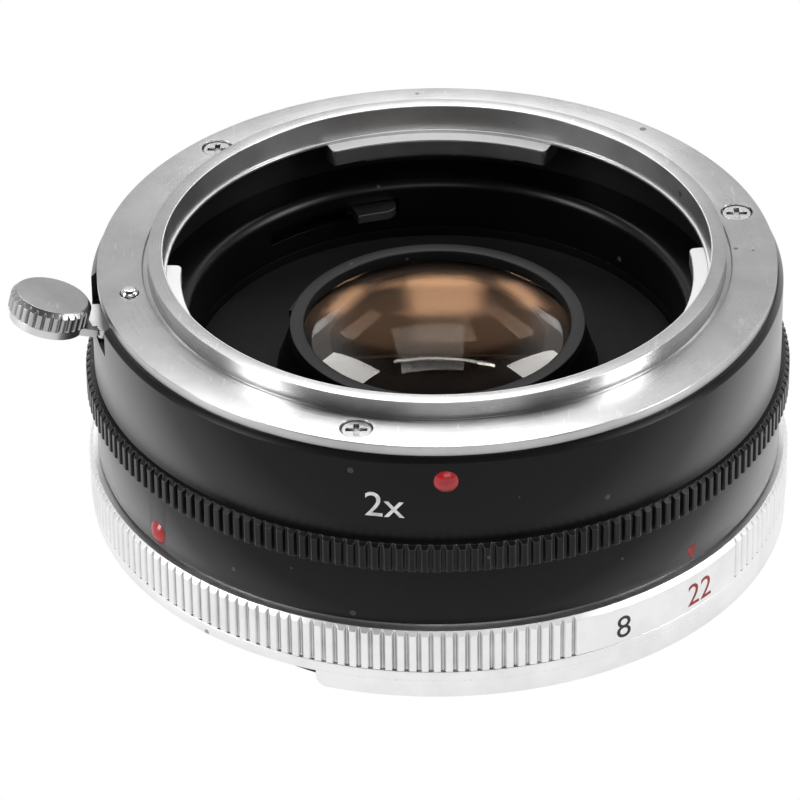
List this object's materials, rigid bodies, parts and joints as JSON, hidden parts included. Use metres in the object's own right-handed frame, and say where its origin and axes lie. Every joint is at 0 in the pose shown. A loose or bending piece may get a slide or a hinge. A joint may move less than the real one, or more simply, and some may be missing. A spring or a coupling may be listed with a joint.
{
  "type": "camera teleconverter",
  "caption": "Round teleconverter ring with a lens bayonet in front, a camera bayonet behind, a lens group in the middle, a mode ring and a lens release lever.",
  "frame": {"origin": "on the optical axis, in the rear register face that meets the camera", "axes": "+Z along the optical axis towards the lens, -Y towards the side with the front alignment bead, +X to its right; the release lever is near -X"},
  "size_m": [0.0671, 0.061, 0.0304],
  "materials": {
    "black_anodised": "black anodised, fine satin",
    "satin_chrome": "satin chrome on brass, lightly scratched",
    "screw_steel": "plated steel",
    "spring_steel": "drawn steel wire and strip",
    "black_barrel": "black anodised, satin with faint turning lines",
    "black_knurl": "black anodised knurl, worn on the crests",
    "red_bead": "glossy red enamel bead",
    "red_paint": "red paint fill",
    "black_satin": "satin black",
    "black_matt": "matt black flocked paint",
    "black_cell": "matt black anodised",
    "ring_satin": "satin black anodised",
    "front_glass": "polished, amber anti-reflection coating",
    "inner_glass": "polished, amber anti-reflection coating",
    "coupling_steel": "plated steel stamping",
    "plain_steel": "plain steel",
    "pale_silver": "pale silver satin anodised knurl",
    "pale_silver_mount": "pale silver satin anodised",
    "black_bayonet": "black anodised",
    "lever_metal": "plated steel stamping",
    "knob_metal": "bright turned metal with a straight knurl",
    "pin_steel": "polished steel"
  },
  "bodies": {
    "body": {"main_frame": "black_anodised", "lens_flange": "satin_chrome", "flange_screws": "screw_steel", "lens_springs": "spring_steel", "upper_barrel": "black_barrel", "grip_ring": "black_knurl", "lower_barrel": "black_barrel", "front_dot": "red_bead", "rear_dot": "red_bead", "index_mark": "red_paint", "front_baffle": "black_satin", "floor_plate": "black_matt", "optical_cell": "black_cell", "cell_lock_ring": "black_anodised", "front_retaining_ring": "ring_satin", "front_element": "front_glass", "front_spacer": "black_matt", "negative_element": "inner_glass", "positive_element": "inner_glass", "rear_spacer": "black_matt", "rear_element": "inner_glass", "rear_retaining_ring": "black_anodised", "ring_keeper": "spring_steel", "return_spring": "spring_steel", "spring_post": "screw_steel", "click_spring": "spring_steel", "rear_mount_ring": "pale_silver_mount", "rear_bayonet": "black_bayonet", "rear_screws": "screw_steel", "rear_baffle": "black_matt", "release_spring": "spring_steel", "lock_pin_spring": "spring_steel"},
    "mode": {"mode_ring": "pale_silver", "mode_arm": "plain_steel", "drive_pins": "screw_steel"},
    "release": {"release_lever": "lever_metal", "lever_knob": "knob_metal"},
    "lock": {"lock_pin": "pin_steel"},
    "aperture": {"coupling_ring": "coupling_steel"},
    "click": {"click_ball": "plain_steel"}
  },
  "joints": [
    {"name": "mode_turn", "type": "hinge", "parent": "body", "child": "mode", "pos_m": [0, 0, 0.0031], "axis": [0, 0, 1], "range_deg": [0, 15.5]},
    {"name": "release_slide", "type": "hinge", "parent": "body", "child": "release", "pos_m": [0, 0, 0.0198], "axis": [0, 0, 1], "range_deg": [-4.2, 0], "stiffness_Nm_per_rad": 0.05, "springref_deg": 2.86, "deforming": ["release_spring"]},
    {"name": "lock_press", "type": "slide", "parent": "body", "child": "lock", "axis": [0, 0, 1], "range_m": [-0.0013, 0], "deforming": ["lock_pin_spring"]},
    {"name": "aperture_turn", "type": "hinge", "parent": "body", "child": "aperture", "pos_m": [0, 0, 0.0087], "axis": [0, 0, 1], "range_deg": [0, 22], "stiffness_Nm_per_rad": 0.01, "springref_deg": -11.46, "deforming": ["return_spring"]},
    {"name": "click_push", "type": "slide", "parent": "body", "child": "click", "axis": [0.9397, -0.342, 0], "range_m": [0, 0.00025], "stiffness_N_per_m": 2, "deforming": ["click_spring"]}
  ],
  "couplings": [
    {"joint": "lock_press", "follows": "release_slide", "m_per_rad": 0.017734}
  ]
}
